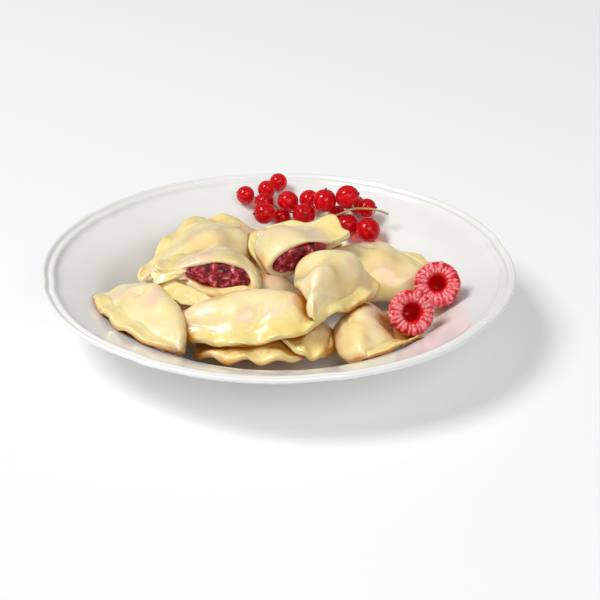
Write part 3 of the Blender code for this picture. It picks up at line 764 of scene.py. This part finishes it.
def cup_width(share, radius):
    """Radius and depth share of the cup, from the open end at 0 to the closed tip at 1."""
    tilt = 0.47 * math.pi * share ** 1.1
    waist = 0.93 + 0.07 * math.sin(math.pi * min(3.0 * share, 1.0))
    return radius * waist * math.cos(tilt) ** 0.75, math.sin(tilt)


def drupelet_spots(radius, length, mouth, seed):
    """Place, outward direction and half sizes of each drupelet: the rim's long ones, then the rows."""
    spots = []
    rim = 0.5 * (radius + mouth)
    for step in range(rim_count):
        jitter = noise.noise(Vector((4.37 * step, 0.7, seed)))
        sway = noise.noise(Vector((seed, 3.19 * step, 1.3)))
        angle = 2.0 * math.pi * (step + 0.6 * jitter) / rim_count
        out = Vector((math.cos(angle), math.sin(angle), 0.0))
        level = Vector((0.0, 0.0, -1.75 + 0.5 * sway))
        place = out * (rim - 0.3 + 0.5 * jitter) + level
        look = (out + Vector((0.0, 0.0, 0.5 * sway))).normalized()
        halves = (1.55 + 0.3 * sway, drupelet, 0.5 * (radius - mouth) + 0.15 + 0.3 * jitter)
        spots.append((place, look, halves))
    for row, share in enumerate(row_shares, start=1):
        width, drop = cup_width(share, radius)
        ring = width - 0.97 * drupelet
        count = max(round(2.0 * math.pi * ring / (1.35 * drupelet)), 3)
        for step in range(count):
            jitter = noise.noise(Vector((4.1 * step, 2.3 * row, seed)))
            angle = 2.0 * math.pi * (step + 0.5 * (row % 2) + 0.15 * jitter) / count
            out = Vector((math.cos(angle), math.sin(angle), 0.0))
            place = out * (ring + 0.35 * jitter) + Vector((0.0, 0.0, -0.94 * length * drop - 1.0))
            size = drupelet * (1.0 + 0.14 * jitter)
            look = (out + Vector((0.0, 0.0, -1.4 * share))).normalized()
            spots.append((place, look, (size, 0.92 * size, size)))
    tip = Vector((0.0, 0.0, drupelet - 0.97 * length))
    spots.append((tip, Vector((0.0, 0.0, -1.0)), (drupelet,) * 3))
    return spots


drupelet_skin = drupelet_finish()
hollow_flesh = hollow_finish()
for node, at, turn, radius, length, mouth, seed in raspberries:
    place = Matrix.LocRotScale(Vector(at), Euler([math.radians(angle) for angle in turn]), None)
    place = Matrix.Scale(mm, 4) @ place
    cluster_shape = bmesh.new()
    drupelet_light_mark = cluster_shape.verts.layers.float.new("outward")
    for spot, out, halves in drupelet_spots(radius, length, mouth, seed):
        ball = bmesh.ops.create_icosphere(cluster_shape, subdivisions=2, radius=1.0)["verts"]
        stretch = Matrix.Diagonal((*halves, 1.0))
        spin = out.to_track_quat("Z", "Y").to_matrix().to_4x4()
        # Painted light and shade: a drupelet's outer and upper side is marked lighter, its flanks
        # darker.
        for corner in ball:
            corner[drupelet_light_mark] = 0.5 + 0.5 * max(corner.co.z, corner.co.y)
        bmesh.ops.transform(cluster_shape, matrix=Matrix.Translation(spot) @ spin @ stretch, verts=ball)
    bmesh.ops.transform(cluster_shape, matrix=place, verts=cluster_shape.verts)
    cluster = new_piece(node + "_drupelets", cluster_shape)
    cluster_rounding = cluster.modifiers.new("rounding", "SUBSURF")
    cluster_rounding.levels = cluster_rounding.render_levels = 1
    cluster.data.materials.append(drupelet_skin)
    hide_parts(node)
    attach(cluster, "root")

    hollow_shape = bmesh.new()
    rings = [(0.0, -11.2), (mouth - 2.6, -10.2), (mouth - 1.3, -7.5), (mouth - 0.7, -4.0),
             (mouth - 0.4, -1.6), (mouth + 0.3, -0.9), (0.5 * (mouth + radius), -0.5),
             (radius - 1.3, -1.0), (radius - 0.5, -2.4)]
    for share in (0.13, 0.27, 0.41, 0.54, 0.67, 0.79, 0.90):
        width, drop = cup_width(share, radius)
        rings.append((width - 0.45, -0.94 * length * drop - 1.4))
    rings.append((0.0, 0.7 - 0.97 * length))
    wall = [hollow_shape.verts.new((width, 0.0, height)) for width, height in rings]
    wall_edges = [hollow_shape.edges.new(pair) for pair in zip(wall, wall[1:])]
    bmesh.ops.spin(hollow_shape, geom=wall + wall_edges, cent=(0, 0, 0), axis=(0, 0, 1),
                   angle=2.0 * math.pi, steps=48, use_merge=True, use_duplicate=False)
    bmesh.ops.remove_doubles(hollow_shape, verts=hollow_shape.verts, dist=0.001)
    for corner in hollow_shape.verts:
        spot = corner.co.copy()
        corner.co += 0.45 * noise.noise(spot / 1.6) * Vector((spot.x, spot.y, 0.0)).normalized()
    bmesh.ops.recalc_face_normals(hollow_shape, faces=hollow_shape.faces)
    bmesh.ops.transform(hollow_shape, matrix=place, verts=hollow_shape.verts)
    hollow = new_piece(node + "_hollow", hollow_shape)
    hollow.data.materials.append(hollow_flesh)
    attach(hollow, "root")

# ---- Setting ----------------------------------------------------------------------------
# A pale floor that runs out of sight and glows a little, as painted light that lightens the plate's
# shadow on it, a large soft light high on the left, a weaker one from the front, and a camera at a
# low angle.

floor_shape = bmesh.new()
bmesh.ops.create_grid(floor_shape, x_segments=1, y_segments=1, size=6.0)
floor = new_piece("floor", floor_shape)
floor_finish, floor_shader = new_finish("floor")[:2]
floor_shader.inputs["Base Color"].default_value = (0.64, 0.645, 0.645, 1.0)
floor_shader.inputs["Roughness"].default_value = 0.9
# Painted light: the floor's glow lightens the plate's shadow on it.
floor_shader.inputs["Emission Color"].default_value = (0.985, 1.0, 0.99, 1.0)
floor_shader.inputs["Emission Strength"].default_value = 0.26
floor.data.materials.append(floor_finish)


def add_light(name, place, size, power, aim=(0.0, 0.0, 0.02)):
    lamp = bpy.data.lights.new(name, "AREA")
    lamp.shape = "RECTANGLE"
    lamp.size, lamp.size_y = size
    lamp.energy = power
    light = bpy.data.objects.new(name, lamp)
    light.location = place
    light.rotation_euler = (Vector(aim) - Vector(place)).to_track_quat("-Z", "Y").to_euler()
    bpy.context.scene.collection.objects.link(light)


add_light("window", (-1.45, -0.55, 2.2), (1.0, 1.0), 56.0)
add_light("fill", (0.8, -2.3, 1.9), (1.8, 1.4), 27.0)

world = bpy.data.worlds.new("room")
world.use_nodes = True
world.node_tree.nodes["Background"].inputs["Color"].default_value = (1.0, 1.0, 1.0, 1.0)
world.node_tree.nodes["Background"].inputs["Strength"].default_value = 0.28
bpy.context.scene.world = world
bpy.context.scene.view_settings.view_transform = "Standard"

look_height = 34.0 * mm
look_down = math.radians(25.6)
look_far = 720.0 * mm
camera_data = bpy.data.cameras.new("camera")
camera_data.lens = 92.3
camera_data.sensor_width = 36.0
camera_data.shift_x = 0.0363
camera_data.shift_y = -0.0645
camera_data.clip_start = 0.05
camera = bpy.data.objects.new("camera", camera_data)
camera.location = (0.0, -look_far * math.cos(look_down), look_height + look_far * math.sin(look_down))
camera.rotation_euler = (math.radians(90.0) - look_down, 0.0, 0.0)
bpy.context.scene.collection.objects.link(camera)
bpy.context.scene.camera = camera
